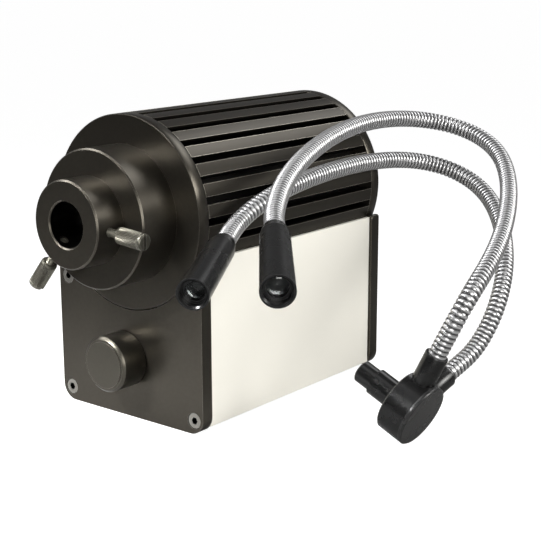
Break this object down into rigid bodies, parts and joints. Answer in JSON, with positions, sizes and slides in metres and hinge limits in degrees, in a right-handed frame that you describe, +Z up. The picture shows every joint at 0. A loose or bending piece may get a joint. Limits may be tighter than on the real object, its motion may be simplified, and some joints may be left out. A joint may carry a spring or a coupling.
{
  "type": "fibre optic illuminator",
  "caption": "Bench fibre optic light source: finned round heat sink on a box with a control knob, clamp screws at the outlet, and a branching light guide with bendable metal arms.",
  "frame": {"origin": "middle of the flat underside of the case; the end plates stand on the bench 2 mm lower", "axes": "+Z up; -Y out of the light outlet, towards the front with the knob; +X to the right seen from the front"},
  "size_m": [0.15, 0.1985, 0.1107],
  "materials": {
    "cream_paint": "matte cream silver coat",
    "olive_anodised": "dark olive-grey satin anodised",
    "fin_anodised": "warm grey satin anodised",
    "steel": "machined screw steel",
    "bright_steel": "shiny stainless hose",
    "bare_aluminium": "bare machined",
    "black_metal": "satin black",
    "knurled": "knurled grey olive",
    "brass": "turned brass",
    "clear_glass": "clear polished",
    "fibre": "bundled clear fibres",
    "board_green": "coated circuit board",
    "white_board": "white lamp board",
    "chip_yellow": "phosphor-coated chip",
    "black_plastic": "moulded black",
    "green_plastic": "moulded terminal",
    "grey_pad": "soft thermal pad",
    "copper_winding": "lacquered copper wire",
    "can_metal": "sleeved capacitor can"
  },
  "bodies": {
    "illuminator": {"case_shell": "cream_paint", "front_plate": "olive_anodised", "rear_plate": "olive_anodised", "end_plate_screws": "steel", "heat_sink": "fin_anodised", "front_flange": "olive_anodised", "rear_flange": "olive_anodised", "front_flange_screws": "steel", "rear_flange_screws": "steel", "barrel_screws": "steel", "heat_sink_saddles": "bare_aluminium", "saddle_screws": "steel", "lens_barrel": "olive_anodised", "guide_collar": "olive_anodised", "ferrule_adapter": "bare_aluminium", "condenser_lens": "clear_glass", "lens_retainer": "black_metal", "thermal_pad": "grey_pad", "lamp_board": "white_board", "lamp_chip": "chip_yellow", "lamp_screws": "steel", "dimmer": "brass", "dimmer_washer": "steel", "dimmer_nut": "steel", "power_inlet": "black_plastic", "power_inlet_nut": "steel", "switch_frame": "black_plastic", "driver_board": "board_green", "board_pillars": "brass", "board_screws": "steel", "driver_coil": "copper_winding", "driver_capacitors": "can_metal", "terminal_blocks": "green_plastic", "lamp_lead": "black_plastic", "supply_lead": "black_plastic"},
    "knob": {"control_shaft": "bare_aluminium", "control_knob": "olive_anodised", "knob_grub_screw": "steel"},
    "rocker": {"switch_rocker": "black_plastic"},
    "right_thumbscrew": {"right_thumbscrew_stud": "steel"},
    "right_thumb_head": {"right_thumbscrew_head": "knurled"},
    "left_thumbscrew": {"left_thumbscrew_stud": "steel"},
    "left_thumb_head": {"left_thumbscrew_head": "knurled"},
    "light_guide": {"manifold_body": "black_metal", "manifold_cap": "black_metal", "guide_ferrule": "black_metal", "ferrule_fibres": "fibre", "arm_sleeves": "black_metal", "right_gooseneck": "bright_steel", "left_gooseneck": "bright_steel", "right_fibre_bundle": "fibre", "left_fibre_bundle": "fibre"},
    "right_tip": {"right_tip_housing": "black_metal", "right_tip_lens": "clear_glass", "right_tip_ring": "black_metal"},
    "left_tip": {"left_tip_housing": "black_metal", "left_tip_lens": "clear_glass", "left_tip_ring": "black_metal"}
  },
  "joints": [
    {"name": "knob_turn", "type": "hinge", "parent": "illuminator", "child": "knob", "pos_m": [-0.0015, -0.054, 0.02], "axis": [0, 1, 0], "range_deg": [0, 300]},
    {"name": "rocker_swing", "type": "hinge", "parent": "illuminator", "child": "rocker", "pos_m": [0.012, 0.054, 0.02], "axis": [-1, 0, 0], "range_deg": [0, 16]},
    {"name": "light_guide_lift", "type": "slide", "parent": "illuminator", "child": "light_guide", "axis": [0, 0, 1], "range_m": [0, 0.08]},
    {"name": "right_arm_bend", "type": "hinge", "parent": "light_guide", "child": "right_tip", "pos_m": [0.038, 0.085, 0.097], "axis": [-1, 0, 0], "range_deg": [-3, 18], "deforming": ["right_gooseneck", "right_fibre_bundle"]},
    {"name": "left_arm_bend", "type": "hinge", "parent": "light_guide", "child": "left_tip", "pos_m": [0.042, 0.08, 0.083], "axis": [-1, 0, 0], "range_deg": [-3, 18], "deforming": ["left_gooseneck", "left_fibre_bundle"]},
    {"name": "right_thumbscrew_travel", "type": "slide", "parent": "illuminator", "child": "right_thumbscrew", "axis": [-0.9962, 0, 0.0872], "range_m": [0, 0.004]},
    {"name": "right_thumbscrew_turn", "type": "hinge", "parent": "right_thumbscrew", "child": "right_thumb_head", "pos_m": [0, -0.0767, 0.0737], "axis": [-0.9962, 0, 0.0872], "range_deg": [0, 2880]},
    {"name": "left_thumbscrew_travel", "type": "slide", "parent": "illuminator", "child": "left_thumbscrew", "axis": [0.6428, 0, 0.766], "range_m": [0, 0.004]},
    {"name": "left_thumbscrew_turn", "type": "hinge", "parent": "left_thumbscrew", "child": "left_thumb_head", "pos_m": [0, -0.0786, 0.0737], "axis": [0.6428, 0, 0.766], "range_deg": [0, 2880]}
  ],
  "couplings": [
    {"joint": "right_thumbscrew_turn", "follows": "right_thumbscrew_travel", "rad_per_m": 12566},
    {"joint": "left_thumbscrew_turn", "follows": "left_thumbscrew_travel", "rad_per_m": 12566}
  ]
}
